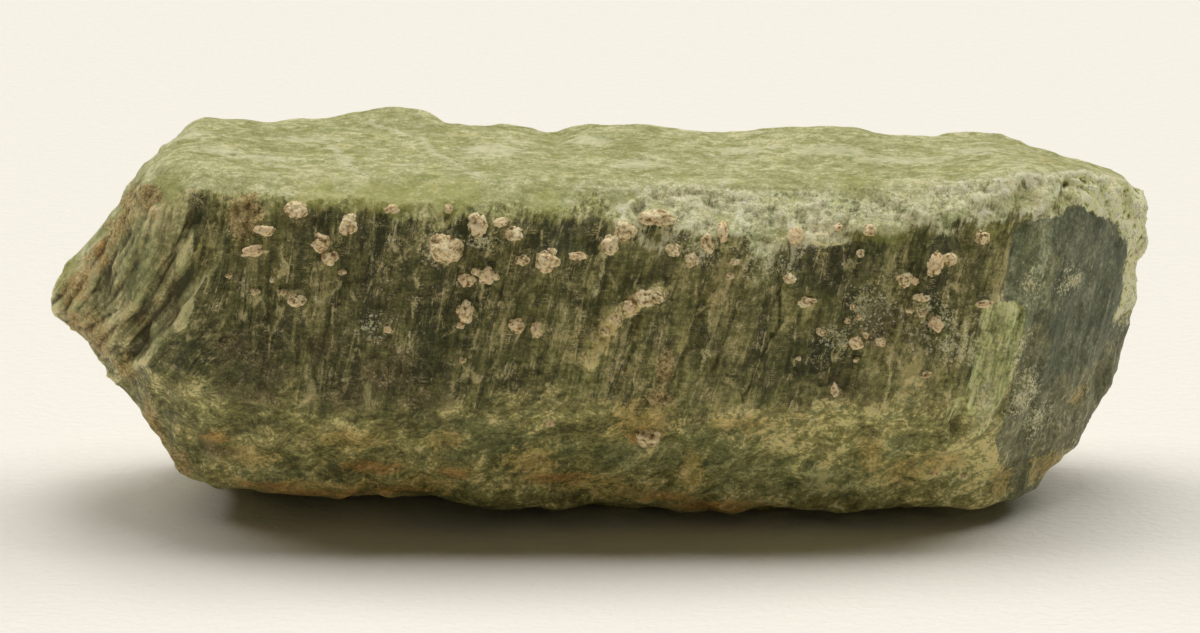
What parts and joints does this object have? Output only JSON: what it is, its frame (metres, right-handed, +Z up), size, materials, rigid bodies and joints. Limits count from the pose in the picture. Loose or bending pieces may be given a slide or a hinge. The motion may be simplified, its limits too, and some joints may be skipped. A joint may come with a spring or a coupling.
{
  "type": "raw apatite crystal",
  "caption": "Raw green apatite crystal lying on one side: a stubby six-sided prism with worn edges, a striated front, broken ends and tan calcite grains grown into it.",
  "frame": {"origin": "under the middle of the crystal, on the surface that it rests on", "axes": "+X along the crystal from its slanted end to its blunt end, +Y from the striated front to the back, +Z up"},
  "size_m": [0.1004, 0.0314, 0.034],
  "materials": {
    "apatite": "waxy olive green, striated, with rusty stains and tan calcite grains"
  },
  "bodies": {
    "root": {"apatite_crystal": "apatite"}
  },
  "joints": []
}
